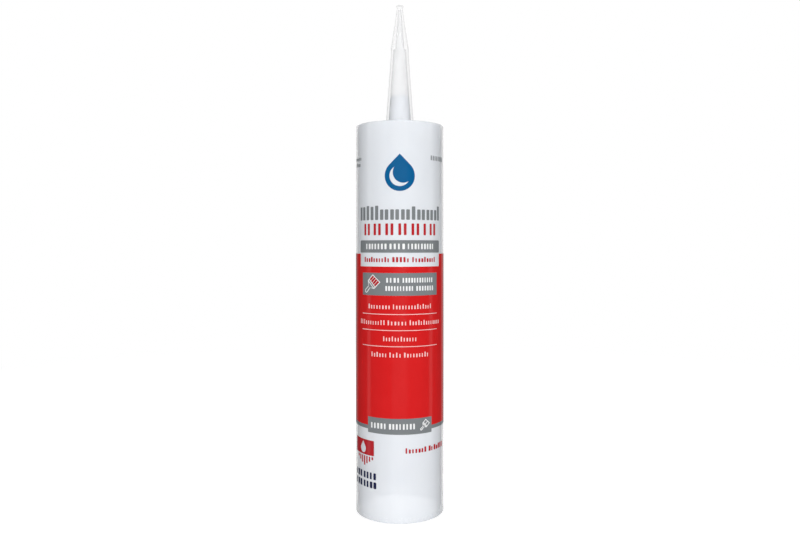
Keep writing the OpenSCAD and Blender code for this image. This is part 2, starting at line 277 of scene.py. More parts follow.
def polyethylene(net):
    """Satin and slightly see-through, above all at the sides and in the bore: faint clouds,
    drawn lines along the axis, a fine grain, and scuffs at the foot and the rim."""
    cloud = net.noise(0.03, detail=3)
    drawn = net.noise(0.35, stretch=(1, 1, 0.02), detail=3, seed=2)
    grain = net.noise(2.2, detail=2, seed=5)
    reach, height = net.reach_and_height()
    bore = net.step(reach, BARREL_R * MM, BORE_R * MM)
    bore = bore * net.step(height, HEAD_TOP * MM, HEAD_UNDER * MM)
    thin = net.step(net.edge_on(), *EDGE_FACING) * (1 - bore)
    scuff = net.step(height, *[z * MM for z in FOOT_SCUFF])
    scuff = scuff + net.step(height, *[(BARREL_H - depth) * MM for depth in RIM_SCUFF])
    scuff = scuff * net.step(net.noise(0.8, detail=4, seed=9), 0.5, 0.62)
    colour = net.tint(net.step(cloud * 0.7 + drawn * 0.3, 0.38, 0.66), POLYETHYLENE,
                      POLYETHYLENE_SHADE)
    return {"Base Color": colour,
            "Roughness": 0.2 + drawn * 0.06 + grain * 0.05 + scuff * 0.18,
            "Normal": net.bump(grain * 0.35 + drawn, 0.012),
            "IOR": 1.5, "Alpha": WALL_ALPHA - bore * BORE_CLEARER - thin * EDGE_CLEARER,
            "Coat Weight": 1.0, "Coat Roughness": 0.1,
            "Sheen Weight": 0.8, "Sheen Roughness": 0.35,
            "Subsurface Weight": 0.15, "Subsurface Radius": (1.0, 0.95, 0.9),
            "Subsurface Scale": 0.0016}


barrel_plastic = finish("natural white polyethylene", polyethylene)
inner_edge, outer_edge = BORE_R + EDGE_ROUND, BARREL_R - EDGE_ROUND
spigot_edge = spigot_r(SPIGOT_TOP) - SPIGOT_ROUND
barrel = turned_piece("barrel", [
    *arc(inner_edge, EDGE_ROUND, EDGE_ROUND, 180, 270),
    *arc(outer_edge, EDGE_ROUND, EDGE_ROUND, 270, 360),
    *arc(outer_edge, BARREL_H - EDGE_ROUND, EDGE_ROUND, 0, 90),
    *arc(inner_edge, BARREL_H - EDGE_ROUND, EDGE_ROUND, 90, 180),
    *arc(BORE_R - HEAD_FILLET, HEAD_TOP + HEAD_FILLET, HEAD_FILLET, 0, -90),
    (spigot_r(HEAD_TOP), HEAD_TOP),
    *arc(spigot_edge, SPIGOT_TOP - SPIGOT_ROUND, SPIGOT_ROUND, 5, 90, 3),
    (SPIGOT_BORE_R, SPIGOT_TOP), (SPIGOT_BORE_R, HEAD_UNDER),
    (BORE_R, HEAD_UNDER)], barrel_plastic)
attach(barrel, "barrel")
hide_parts("barrel")

# Nozzle
# A hollow cone of softer, clearer polyethylene, pushed over the spigot and sealed at its tip.
# It is moulded with a neck, a bead at the tip, and a gusseted flange that sits on the head.
UPPER_Z = 260.8
STEP_Z = 259.6
SLIM_R = 2.85
SLIM_Z = 274.2
TIP_R = 1.65
BEAD_Z = 283.5
BEAD_R = 2.1
BEAD_RISE = 0.7
TIP_Z = 284.8
TIP_SKIN = 1.6
TIP_BORE_R = 0.8
PASSAGE_R = 2.6
FLANGE_R = 11.5
FLANGE_T = 1.5
FLANGE_LEAN = 0.2
NOZZLE_ROUND = 0.3
ROOT_ROUND = 0.5
GUSSETS = 8
GUSSET_T = 1.0
GUSSET_SUNK = 0.5
PLATE_EDGE = 0.12
UPPER_TAPER = 0.107
UPPER_MIDDLE_R = 3.8
WALL_BLEND = 0.1
CLEAR_POLYETHYLENE = (0.8, 0.805, 0.815, 1)
CLEAR_POLYETHYLENE_SHADE = (0.78, 0.785, 0.795, 1)
SKIN_ALPHA = 0.1
SKIN_EDGE_ALPHA = 0.25
PASSAGE_ALPHA = 0.38


def clear_polyethylene(net):
    """Glossy and see-through: a thin outer skin that thickens at the sides, over a milkier
    face inside the wall, with faint flow lines and a fine grain."""
    flow = net.noise(0.4, stretch=(1, 1, 0.06), detail=3, seed=3)
    grain = net.noise(3, detail=2, seed=7)
    colour = net.tint(flow, CLEAR_POLYETHYLENE, CLEAR_POLYETHYLENE_SHADE)
    edge_on = net.edge_on()
    reach, height = net.reach_and_height()
    lower = (cone_r(0) - NOZZLE_WALL / 2) * MM - height * CONE_TAPER
    upper = (UPPER_MIDDLE_R + UPPER_TAPER * UPPER_Z) * MM - height * UPPER_TAPER
    middle = net.maths("MINIMUM", lower, upper)
    inside = net.step(reach - middle, WALL_BLEND * MM, -WALL_BLEND * MM)
    skin = edge_on * edge_on * SKIN_EDGE_ALPHA + SKIN_ALPHA
    return {"Base Color": colour,
            "Roughness": 0.14 + flow * 0.05 + grain * 0.03,
            "Normal": net.bump(grain * 0.5 + flow, 0.002),
            "IOR": 1.5, "Alpha": skin + inside * (PASSAGE_ALPHA - skin)}


nozzle_plastic = finish("clear soft polyethylene", clear_polyethylene)
flange_top = HEAD_TOP + FLANGE_T
passage_end = TIP_Z - TIP_SKIN
# Points a fraction of a mm off the neck, the shoulder and the slim part soften their corners
nozzle = turned_piece("nozzle", [
    (cone_r(HEAD_TOP) - NOZZLE_WALL, HEAD_TOP), (FLANGE_R - FLANGE_LEAN, HEAD_TOP),
    *arc(FLANGE_R - NOZZLE_ROUND, flange_top - NOZZLE_ROUND, NOZZLE_ROUND, 0, 90, 4),
    *arc(cone_r(flange_top) + ROOT_ROUND, flange_top + ROOT_ROUND, ROOT_ROUND, 270, 180, 4),
    (NECK_R + 0.06, NECK_Z - 0.8), (NECK_R, NECK_Z),
    (NECK_R, UPPER_Z - 0.3), (NECK_R - 0.08, UPPER_Z + 0.3),
    (SLIM_R + 0.09, SLIM_Z - 0.5), (SLIM_R - 0.06, SLIM_Z + 0.5), (TIP_R, BEAD_Z),
    *arc(BEAD_R - NOZZLE_ROUND, BEAD_Z + BEAD_RISE, NOZZLE_ROUND, -40, 0, 3),
    *arc(BEAD_R - NOZZLE_ROUND, TIP_Z - NOZZLE_ROUND, NOZZLE_ROUND, 0, 90, 4), (0, TIP_Z),
    (0, passage_end), (TIP_BORE_R * 0.6, passage_end - 0.15),
    (TIP_BORE_R, passage_end - TIP_BORE_R), (PASSAGE_R, STEP_Z),
    (NECK_R - NOZZLE_WALL, STEP_Z), (NECK_R - NOZZLE_WALL, NECK_Z)], nozzle_plastic)
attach(nozzle, "barrel")
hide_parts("nozzle")
nozzle.visible_shadow = False

# The spacing tree stands copies of one rib round the axis
spaced, net, given = shape_tree("spaced round the axis", Count="Int")
spots = net.node("GeometryNodePoints", {"Count": given.of("Count")})
lean = net.node("GeometryNodeInputIndex") * (2 * pi) / given.of("Count")
copies = net.node("GeometryNodeInstanceOnPoints",
                  {"Points": spots, "Instance": given.of("Shape"),
                   "Rotation": net.node("ShaderNodeCombineXYZ", {"Z": lean})})
close_tree(net, given, net.node("GeometryNodeRealizeInstances", {"Geometry": copies}))


def plate(points, thickness):
    """A flat rib in the plane of the axis, given as (radius, height) in mm, edges eased."""
    made = bmesh.new()
    flat = [made.verts.new((x * MM, thickness * MM / 2, z * MM)) for x, z in points]
    face = made.faces.new(flat)
    grown = bmesh.ops.extrude_face_region(made, geom=[face])["geom"]
    bmesh.ops.translate(made, vec=(0, -thickness * MM, 0),
                        verts=[v for v in grown if isinstance(v, bmesh.types.BMVert)])
    bmesh.ops.bevel(made, geom=made.edges[:], offset=PLATE_EDGE * MM, segments=2, profile=0.5,
                    affect="EDGES")
    bmesh.ops.recalc_face_normals(made, faces=made.faces[:])
    mesh = bpy.data.meshes.new("plate")
    made.to_mesh(mesh)
    made.free()
    return mesh


gusset_low, gusset_top = HEAD_TOP + FLANGE_T * 0.6, BARREL_H - EDGE_ROUND
gussets = shaped("nozzle_gussets", plate([
    (cone_r(gusset_low) - GUSSET_SUNK, gusset_low), (FLANGE_R - GUSSET_T, gusset_low),
    (FLANGE_R - GUSSET_T, flange_top + 0.1), (cone_r(gusset_top) + 0.15, gusset_top),
    (cone_r(gusset_top) - GUSSET_SUNK, gusset_top)], GUSSET_T),
    spaced, nozzle_plastic, Count=GUSSETS)
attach(gussets, "barrel")
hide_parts("nozzle")

# Inner seal
# A disc of aluminium foil, heat-sealed on the end of the spigot. It is pierced through the
# nozzle before the first use, and keeps the paste from curing until then.
FOIL_R = spigot_r(SPIGOT_TOP) - 0.2
FOIL_T = 0.12
FOIL_TINT = (0.82, 0.83, 0.85, 1)
FOIL_DULL = (0.7, 0.71, 0.74, 1)


def foil(net):
    """Bright metal, creased where it was pressed on, with a faint rolled grain."""
    crease = net.noise(0.9, detail=4, seed=4)
    grain = net.noise(6, stretch=(0.1, 1, 1), detail=1, seed=6)
    return {"Base Color": net.tint(crease, FOIL_TINT, FOIL_DULL), "Metallic": 1.0,
            "Roughness": 0.22 + crease * 0.2 + grain * 0.1,
            "Normal": net.bump(crease + grain * 0.1, 0.08)}


foil_top = SPIGOT_TOP + FOIL_T
foil_dip = SPIGOT_TOP + FOIL_T * 0.8
inner_seal = turned_piece("inner_seal", [
    (0, SPIGOT_TOP), (FOIL_R - 0.02, SPIGOT_TOP), (FOIL_R, SPIGOT_TOP + 0.02),
    (FOIL_R, foil_top - 0.03), (FOIL_R - 0.06, foil_top),
    (SPIGOT_BORE_R + 0.2, foil_top), (SPIGOT_BORE_R - 0.2, foil_dip),
    (0, foil_dip)], finish("aluminium foil", foil))
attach(inner_seal, "barrel")
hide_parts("inner_seal")

# Sealant
# The paste itself: a smooth white filled acrylic, pressed against the wall, the head and the
# plunger, and up the spigot to the seal. In use it shortens as the plunger drives it out; this
# piece is built at its full length.
PLUNGER_TOP = 39
PASTE_GAP = 0.05
PASTE_ROUND = 0.3
PASTE_LEVELS = 24
PASTE = (0.86, 0.875, 0.88, 1)
PASTE_SHADE = (0.8, 0.815, 0.825, 1)


def paste(net):
    """Smooth and wet, with slow folds from filling and a trace of its filler."""
    fold = net.noise(0.12, stretch=(1, 1, 2.5), detail=3, seed=8)
    filler = net.noise(4, detail=2, seed=1)
    return {"Base Color": net.tint(fold, PASTE, PASTE_SHADE),
            "Roughness": 0.34 + fold * 0.14 + filler * 0.05,
            "Normal": net.bump(fold + filler * 0.06, 0.1),
            "Subsurface Weight": 0.2, "Subsurface Radius": (1.0, 0.95, 0.9),
            "Subsurface Scale": 0.0012}


paste_r = BORE_R - PASTE_GAP
paste_top = HEAD_UNDER - PASTE_GAP
stub_r, stub_top = SPIGOT_BORE_R - PASTE_GAP, SPIGOT_TOP - PASTE_GAP
sealant = turned_piece("sealant", [
    (0, PLUNGER_TOP), (paste_r - PASTE_ROUND, PLUNGER_TOP), (paste_r, PLUNGER_TOP + PASTE_ROUND),
    *[(paste_r, PLUNGER_TOP + (HEAD_UNDER - PLUNGER_TOP) * i / PASTE_LEVELS)
      for i in range(1, PASTE_LEVELS)],
    (paste_r, paste_top - PASTE_ROUND), (paste_r - PASTE_ROUND, paste_top),
    (stub_r, paste_top), (stub_r, stub_top),
    (0, stub_top)], finish("white acrylic paste", paste))
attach(sealant, "barrel")
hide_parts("sealant")
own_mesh(sealant)

# Plunger
# A moulded follower cup, open to the foot, with a wiping lip at each end of its skirt and ribs
# in the corner under its face. A gun's plate pushes on it from below.
PLUNGER_LOW = 21
LIP_GAP = 0.05
LIP_R = BORE_R - LIP_GAP
LIP_H = 1.4
LIP_OUT = 0.9
LIP_ROUND = 0.2
LIP_EDGE = 0.15
SKIRT_R = LIP_R - LIP_OUT
SKIRT_T = 1.3
CUP_R = SKIRT_R - SKIRT_T
CUP_ROUND = 0.4
FACE_T = 1.6
RIBS = 8
RIB_T = 1.0
RIB_W = 2.5
RIB_H = 6.0
RIB_SUNK = 0.4
TOOL_PITCH = 0.5
MILKY = (0.74, 0.76, 0.78, 1)
MILKY_SHADE = (0.68, 0.7, 0.725, 1)


def milky_polyethylene(net):
    """Matt and milky, with a fine grain and the turned mould's rings round the axis."""
    reach, _ = net.reach_and_height()
    rings = net.maths("SINE", reach * (2 * pi / (TOOL_PITCH * MM)))
    cloud = net.noise(0.06, detail=3, seed=11)
    grain = net.noise(2.5, detail=2, seed=12)
    return {"Base Color": net.tint(cloud, MILKY, MILKY_SHADE),
            "Roughness": 0.36 + grain * 0.1 + cloud * 0.06,
            "Normal": net.bump(rings * 0.12 + grain * 0.5, 0.02),
            "IOR": 1.5, "Subsurface Weight": 0.3, "Subsurface Radius": (1.0, 0.96, 0.92),
            "Subsurface Scale": 0.0015}


plunger_plastic = finish("milky polyethylene", milky_polyethylene)
cup_top = PLUNGER_TOP - FACE_T
cup_lip_r = CUP_R + LIP_OUT
lip_top = PLUNGER_LOW + LIP_H
plunger = turned_piece("plunger", [
    (0, cup_top), (CUP_R - CUP_ROUND - 0.1, cup_top),
    *arc(CUP_R - CUP_ROUND, cup_top - CUP_ROUND, CUP_ROUND, 90, 0, 4),
    (CUP_R, lip_top + LIP_OUT), (cup_lip_r, lip_top),
    (cup_lip_r, PLUNGER_LOW + LIP_EDGE), (cup_lip_r + LIP_EDGE, PLUNGER_LOW),
    *arc(LIP_R - LIP_ROUND, PLUNGER_LOW + LIP_ROUND, LIP_ROUND, 270, 360, 4),
    (LIP_R, lip_top), (SKIRT_R, lip_top + LIP_OUT),
    (SKIRT_R, PLUNGER_TOP - LIP_H - 2 * LIP_OUT), (LIP_R, PLUNGER_TOP - LIP_H - LIP_OUT),
    (LIP_R, PLUNGER_TOP - LIP_OUT), (SKIRT_R, PLUNGER_TOP), (0, PLUNGER_TOP)], plunger_plastic)
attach(plunger, "plunger")
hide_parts("plunger")

rib_top = cup_top + FACE_T / 3
ribs = shaped("plunger_ribs", plate([
    (CUP_R - RIB_W, rib_top), (CUP_R - RIB_W, cup_top - RIB_H / 2),
    (CUP_R, cup_top - RIB_H), (CUP_R + RIB_SUNK, cup_top - RIB_H),
    (CUP_R + RIB_SUNK, rib_top)], RIB_T), spaced, plunger_plastic, Count=RIBS)
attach(ribs, "plunger")
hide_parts("plunger")

# Red print
# Screen print in glossy red ink, straight on the wall: the field with its windows, and in a
# deeper red a second piece with the lower heading, the words on the bare wall, the badge with
# its stripes, and the bristles of the large brush sign.

# Flat artwork is measured across, round the wall from the front, and up from the foot. A pair
# such as FIELD is a shape's low and top edge
INK_T = 0.08
INK_GAP = 0.02
COLUMN_W = 1.0
FILL_WITH_HOLES = 2
HALF_ROUND = pi * BARREL_R
FIELD = (51.5, 144.4)
BARE_BOX = (137.5, 145.0)
BAR = (145.0, 151.7)
BAR_W = 52
PANEL = (122.0, 134.1)
PANEL_W = 47
PANEL_Z = sum(PANEL) / 2
FOOT_PANEL = (47.7, 56.2)
FOOT_PANEL_W = 38
FOOT_PANEL_Z = sum(FOOT_PANEL) / 2
RING = (49.5, 51.5)
BADGE_AT = -23.2
BADGE = (35.0, 43.2)
BADGE_W = 16.8
BADGE_ROUND = 0.5
BADGE_DROP = (4.8, 6.6)
FRINGE_AT = BADGE_AT + 1.3
FRINGE_W = 1.0
FRINGE_PLACES = range(-6, 7, 2)
FRINGE_LOW = 5.8
FRINGE_SLOPE = 0.6
FRINGE_GAP = 0.7
BRUSH_LEAN = radians(-46)
BRUSH_L = 11.2
BRUSH_MARGIN = 1.0
BRUSH_AT = BRUSH_MARGIN + BRUSH_L / 2 - PANEL_W / 2
BRUSH_Z = PANEL_Z - 0.5
SMALL_BRUSH_L = 6.6
SMALL_BRUSH_MARGIN = 1.8
SMALL_BRUSH_AT = FOOT_PANEL_W / 2 - SMALL_BRUSH_MARGIN - SMALL_BRUSH_L / 2
STROKE = 0.4
PARTING = 0.22
STRANDS = 4
SMALL_STRANDS = 2
# LETTER_W and LOW_LETTER are shares of a word's height, and LETTER_ROUND of a bar's width
LETTER_W = 0.6
LETTER_SPREAD = (0.75, 1.25)
LETTER_ROUND = 0.25
LOW_LETTER = 0.74
TALL_SHARE = 0.25
WORD_GAP = 1.8
STEM_ROUND = 0.22
LOWER_HEADING = [(6.3, 6.3)] * 5 + [(6.3,), (6.3, 6.3)]
# Where the ink is thin a trace of the wall shows, and where it is full its colour is deeper
INK_THIN = 0.004
INK_FULL = 0.97
WALL_TONE = 0.8
RED_INK = (0.635, 0.012, 0.013)
DEEP_RED_INK = (0.46, 0.017, 0.024)

# Every word on the wall draws from this one seeded dice, so the order of the lines matters
dice = Random(5)


def rectangle(left, low, right, top, corner=0.0):
    """A loop round a rectangle on the flat artwork, with its corners rounded."""
    if not corner:
        return [(left, low), (right, low), (right, top), (left, top)]
    return [*arc(right - corner, low + corner, corner, -90, 0, 4),
            *arc(right - corner, top - corner, corner, 0, 90, 4),
            *arc(left + corner, top - corner, corner, 90, 180, 4),
            *arc(left + corner, low + corner, corner, 180, 270, 4)]


def artwork(shapes):
    """A flat mesh of the shapes, cut into narrow columns so that it can follow the wall.
    A shape is its layer and its loops: the first is its edge, and the others are holes."""
    made = bmesh.new()
    for layer, loops in shapes:
        points = [p for loop in loops for p in loop]
        firsts = [sum(map(len, loops[:i])) for i in range(len(loops))]
        faces = [list(range(f, f + len(loop))) for f, loop in zip(firsts, loops)]
        spots, _, filled, *_ = delaunay_2d_cdt(points, [], faces, FILL_WITH_HOLES, 1e-6)
        lift = layer * (INK_T + INK_GAP) * MM
        corners = [made.verts.new((x * MM, y * MM, lift)) for x, y in spots]
        for face in filled:
            made.faces.new([corners[i] for i in face])
    reach = [v.co.x for v in made.verts]
    place = min(reach) + COLUMN_W * MM
    while place < max(reach):
        bmesh.ops.bisect_plane(made, geom=made.verts[:] + made.edges[:] + made.faces[:],
                               dist=1e-7, plane_co=(place, 0, 0), plane_no=(1, 0, 0))
        place += COLUMN_W * MM
    for face in made.faces:
        if face.normal.z < 0:
            face.normal_flip()
    mesh = bpy.data.meshes.new("artwork")
    made.to_mesh(mesh)
    made.free()
    return mesh


# The print tree bends flat artwork round the wall, closes it, and gives it its thickness
printed, net, given = shape_tree("printed on the wall",
                                 **{"Wall radius": "Float", "Ink thickness": "Float",
                                    "Ink gap": "Float"})
spot = net.node("ShaderNodeSeparateXYZ", {0: net.node("GeometryNodeInputPosition")})
turn = spot / given.of("Wall radius")
reach = given.of("Wall radius") + given.of("Ink gap") + spot.of("Z")
bent = net.node("ShaderNodeCombineXYZ", {"X": reach * net.maths("SINE", turn),
                                         "Y": reach * net.maths("COSINE", turn) * -1,
                                         "Z": spot.of("Y")})
skin = net.node("GeometryNodeSetPosition", {"Geometry": given.of("Shape"), "Position": bent})
skin = net.node("GeometryNodeMergeByDistance", {"Geometry": skin, "Distance": MERGE_METRES})
spot = net.node("ShaderNodeSeparateXYZ", {0: net.node("GeometryNodeInputPosition")})
outward = net.node("ShaderNodeVectorMath",
                   {0: net.node("ShaderNodeCombineXYZ", {"X": spot, "Y": spot.of("Y")})},
                   operation="NORMALIZE")
raised = net.node("GeometryNodeExtrudeMesh",
                  {"Mesh": skin, "Offset": outward, "Offset Scale": given.of("Ink thickness"),
                   "Individual": False})
both = net.node("GeometryNodeJoinGeometry", {"Geometry": raised})
under = net.node("GeometryNodeFlipFaces", {"Mesh": skin})
net.tree.links.new(under.socket, both.socket.node.inputs[0])
both = net.node("GeometryNodeMergeByDistance", {"Geometry": both, "Distance": MERGE_METRES})
close_tree(net, given, both)


def print_piece(name, shapes, material):
    """A piece of print on the barrel's wall, from its flat shapes."""
    return shaped(name, artwork(shapes), printed, material,
                  **{"Wall radius": BARREL_R * MM, "Ink thickness": INK_T * MM,
                     "Ink gap": INK_GAP * MM})


def ink(colour):
    """A screen ink: a little uneven in its cover, with a fine mesh texture and soft gloss."""
    thin = tuple(c + (WALL_TONE - c) * INK_THIN for c in colour) + (1,)
    full = tuple(c * INK_FULL for c in colour) + (1,)

    def draw(net):
        cover = net.noise(0.05, detail=4, seed=13)
        screen = net.noise(3, detail=1, seed=14)
        return {"Base Color": net.tint(net.step(cover + screen * 0.2, 0.35, 0.85), thin, full),
                "Roughness": 0.09 + cover * 0.04 + screen * 0.03,
                "Normal": net.bump(screen, 0.003),
                "IOR": 1.48, "Specular IOR Level": 0.3}
    return draw


def letters(width, height, capital, fill):
    """A word as plain upright bars, one to a letter: (left, right, height) from its start."""
    count = max(2, round(width / (height * LETTER_W)))
    pitch = width / (count - 1 + fill)
    bars = []
    for i in range(count):
        wide = pitch * fill * dice.uniform(*LETTER_SPREAD)
        tall = capital or i == 0 or dice.random() < TALL_SHARE
        bars.append((i * pitch, i * pitch + wide, height if tall else height * LOW_LETTER))
    return bars


def line(words, middle, low, height, layer=0, capital=False, fill=0.5):
    """A row of words of those widths, centred across at middle and standing on height low."""
    left = middle - (sum(words) + WORD_GAP * (len(words) - 1)) / 2
    shapes = []
    for width in words:
        for start, end, rise in letters(width, height, capital, fill):
            shapes.append((layer, [rectangle(left + start, low, left + end, low + rise,
                                             (end - start) * LETTER_ROUND)]))
        left += width + WORD_GAP
    return shapes


def heading(forms, low, stem, counter, gap):
    """A heading of plain stems, centred on the front: a form is the heights of its stems."""
    stems = sum(map(len, forms))
    left = -(stems * stem + (stems - len(forms)) * counter + (len(forms) - 1) * gap) / 2
    shapes = []
    for form in forms:
        for height in form:
            shapes.append((0, [rectangle(left, low, left + stem, low + height,
                                         stem * STEM_ROUND)]))
            left += stem + counter
        left += gap - counter
    return shapes


def drop(across, up, width, height):
    """A loop round a water drop: a round belly whose sides run straight to its tip."""
    r = width / 2
    belly = r - height / 2
    lean = degrees(asin(r / (height / 2 - belly)))
    return [(across, up + height / 2), *arc(across, up + belly, r, 180 - lean, 360 + lean, 40)]


def leaned(loop, across, up):
    """A brush's loop, turned by the brushes' lean and moved to its place."""
    return [(across + x * cos(BRUSH_LEAN) - y * sin(BRUSH_LEAN),
             up + x * sin(BRUSH_LEAN) + y * cos(BRUSH_LEAN)) for x, y in loop]


def brush(length, across, up, strands, parting):
    """A paint brush sign: the loop round it, and its windows, the bristles' ones first."""
    half, neck = length * 0.28, length * 0.075
    knob, foot, waist = neck * 1.3, -length / 2 + length * 0.09, -length * 0.12
    cuff, root, tip = length * 0.02, length * 0.14, length / 2
    edge = [(-half, tip * 0.9), (-half, cuff), (-neck, waist), (-knob, foot),
            *arc(0, foot, knob, 180, 360, 8)[1:-1],
            (knob, foot), (neck, waist), (half, cuff), (half, tip)]
    wide = (half * 2 - STROKE * 2 - parting * (strands - 1)) / strands
    slope = tip * 0.1 / (2 * half)
    windows = []
    for i in range(strands):
        left = STROKE - half + i * (wide + parting)
        right_top, left_top = [tip * 0.9 + (x + half) * slope - STROKE
                               for x in (left + wide, left)]
        windows.append([(left, root), (left + wide, root), (left + wide, right_top),
                        (left, left_top)])
    windows.append(rectangle(STROKE - half, cuff + STROKE * 0.6, half - STROKE, root - STROKE))
    inner = neck - STROKE * 0.8
    inner_knob = inner * 1.3
    inner_waist = waist - STROKE * 0.3
    shoulder, shoulder_up = half - STROKE * 2.2, cuff - STROKE * 0.4
    windows.append([(-shoulder, shoulder_up), (-inner, inner_waist), (-inner_knob, foot),
                    *arc(0, foot, inner_knob, 180, 360, 8)[1:-1],
                    (inner_knob, foot), (inner, inner_waist), (shoulder, shoulder_up)])
    return [leaned(loop, across, up) for loop in (edge, *windows)]


def narrowed(loop, by):
    """A convex loop drawn in towards its middle by about so many mm."""
    cx, cy = (sum(p[i] for p in loop) / len(loop) for i in (0, 1))
    return [(cx + (x - cx) * (1 - by / max(abs(x - cx), by * 2)),
             cy + (y - cy) * (1 - by / max(abs(y - cy), by * 2))) for x, y in loop]


field_low, field_top = FIELD
foot_edge, foot_top = FOOT_PANEL_W / 2 + INK_GAP, FOOT_PANEL[1] + INK_GAP
bar_edge, box_low = BAR_W / 2 + INK_GAP, BARE_BOX[0]
panel_edge = PANEL_W / 2 + INK_GAP
field_shapes = [
    (0, [[(-HALF_ROUND, field_low), (-foot_edge, field_low), (-foot_edge, foot_top),
          (foot_edge, foot_top), (foot_edge, field_low), (HALF_ROUND, field_low),
          (HALF_ROUND, field_top), (bar_edge, field_top), (bar_edge, box_low),
          (-bar_edge, box_low), (-bar_edge, field_top), (-HALF_ROUND, field_top)],
         rectangle(-panel_edge, PANEL[0] - INK_GAP, panel_edge, PANEL[1] + INK_GAP)])]
print_red = print_piece("print_red", field_shapes, finish("red ink", ink(RED_INK)))
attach(print_red, "barrel")
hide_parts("print_red")

large_brush = brush(BRUSH_L, BRUSH_AT, BRUSH_Z, STRANDS, PARTING)
small_brush = brush(SMALL_BRUSH_L, SMALL_BRUSH_AT, FOOT_PANEL_Z, SMALL_STRANDS, STROKE)
badge = rectangle(BADGE_AT - BADGE_W / 2, BADGE[0], BADGE_AT + BADGE_W / 2, BADGE[1],
                  BADGE_ROUND)
fringe = [rectangle(FRINGE_AT + x - FRINGE_W / 2, BADGE[0] - FRINGE_LOW + abs(x) * FRINGE_SLOPE,
                    FRINGE_AT + x + FRINGE_W / 2, BADGE[0] - FRINGE_GAP) for x in FRINGE_PLACES]
word_shapes = [
    (0, [badge, drop(BADGE_AT, sum(BADGE) / 2, *BADGE_DROP)]),
    *[(0, [stripe]) for stripe in fringe],
    *heading(LOWER_HEADING, low=154.4, stem=1.5, counter=1.4, gap=2.7),
    *line([16, 9, 15], middle=0, low=139.9, height=2.8, fill=0.52),
    *line([12, 13], middle=16.5, low=37.6, height=2.9, fill=0.6),
    *[(1, [narrowed(window, INK_GAP)]) for window in large_brush[1:1 + STRANDS]]]
red_words = print_piece("print_red_words", word_shapes, finish("deep red ink", ink(DEEP_RED_INK)))
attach(red_words, "barrel")
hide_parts("print_red")

# Grey print
# The second colour of the screen print: the ring and panels that frame the red field, the upper
# heading and the small words near the rim.
BAR_ROUND = 0.8
UPPER_HEADING = [(7.2, 7.2), (7.7,), (7.2,), (7.7,), *[(5.6, 5.6)] * 3, (7.2,),
                 *[(5.6, 5.6)] * 2, (5.6, 7.7)]
GREY_INK = (0.2, 0.216, 0.226)
ring_low, ring_top = RING
foot_half = FOOT_PANEL_W / 2
grey_shapes = [
    (0, [[(-HALF_ROUND, ring_low), (-foot_half, ring_low), (-foot_half, FOOT_PANEL[0]),
          (foot_half, FOOT_PANEL[0]), (foot_half, ring_low), (HALF_ROUND, ring_low),
          (HALF_ROUND, ring_top), (foot_half, ring_top), (foot_half, FOOT_PANEL[1]),
          (-foot_half, FOOT_PANEL[1]), (-foot_half, ring_top), (-HALF_ROUND, ring_top)]]),
    (0, [rectangle(-BAR_W / 2, BAR[0], BAR_W / 2, BAR[1], BAR_ROUND)]),
    (0, [rectangle(-PANEL_W / 2, PANEL[0], PANEL_W / 2, PANEL[1])]),
    *heading(UPPER_HEADING, low=162.6, stem=1.95, counter=0.8, gap=1.12),
    *line([8], middle=-29.5, low=195.6, height=2.2),
    *line([6], middle=-29.5, low=192.3, height=2.2),
    *line([12], middle=24.5, low=195.2, height=2.6, capital=True)]
print_grey = print_piece("print_grey", grey_shapes, finish("grey ink", ink(GREY_INK)))
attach(print_grey, "barrel")
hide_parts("print_grey")

# White print
# Opaque white ink over the other colours: the words on the bar and panels, and the two brush
# signs. The claim lines and their rules are a second piece, pinkish from the red under them.
PANEL_TEXT_AT = (BRUSH_AT + BRUSH_L / 2 + PANEL_W / 2) / 2
PANEL_TEXT_H = 2.6
PANEL_TEXT_APART = 2.2
FOOT_TEXT_AT = (SMALL_BRUSH_AT - SMALL_BRUSH_L / 2 - FOOT_PANEL_W / 2) / 2
FOOT_TEXT_H = 3
CLAIMS = [[13, 22], [17, 10, 20], [18], [9, 6, 14]]
FIRST_CLAIM = 116.1
CLAIM_PITCH = 8.6
CLAIM_H = 2.6
RULE_W = 47
RULE_H = 0.35
WHITE_INK = (0.86, 0.865, 0.87)
PINKISH_WHITE_INK = (0.9, 0.62, 0.62)
panel_text_low = -PANEL_TEXT_H / 2
white_shapes = [
    *line([13, 8, 16], middle=0, low=146.85, height=3, layer=1, capital=True),
    *line([7, 18], PANEL_TEXT_AT, PANEL_Z + PANEL_TEXT_APART + panel_text_low, PANEL_TEXT_H,
          layer=1, capital=True),
    *line([15, 11], PANEL_TEXT_AT, PANEL_Z - PANEL_TEXT_APART + panel_text_low, PANEL_TEXT_H,
          layer=1, capital=True),
    *line([9, 14], FOOT_TEXT_AT, FOOT_PANEL_Z - FOOT_TEXT_H / 2, FOOT_TEXT_H,
          layer=1, capital=True),
    (1, large_brush), (1, small_brush)]
print_white = print_piece("print_white", white_shapes, finish("white ink", ink(WHITE_INK)))
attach(print_white, "barrel")
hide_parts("print_white")

claim_shapes = []
for i, words in enumerate(CLAIMS):
    claim_shapes += line(words, 0, FIRST_CLAIM - i * CLAIM_PITCH - CLAIM_H / 2, CLAIM_H, layer=1,
                         fill=0.38)
for i in range(1, len(CLAIMS)):
    rule_low = FIRST_CLAIM - (i - 0.5) * CLAIM_PITCH
    claim_shapes.append((1, [rectangle(-RULE_W / 2, rule_low, RULE_W / 2, rule_low + RULE_H)]))
claims = print_piece("print_white_claims", claim_shapes,
                     finish("white ink over red", ink(PINKISH_WHITE_INK)))
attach(claims, "barrel")
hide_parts("print_white")

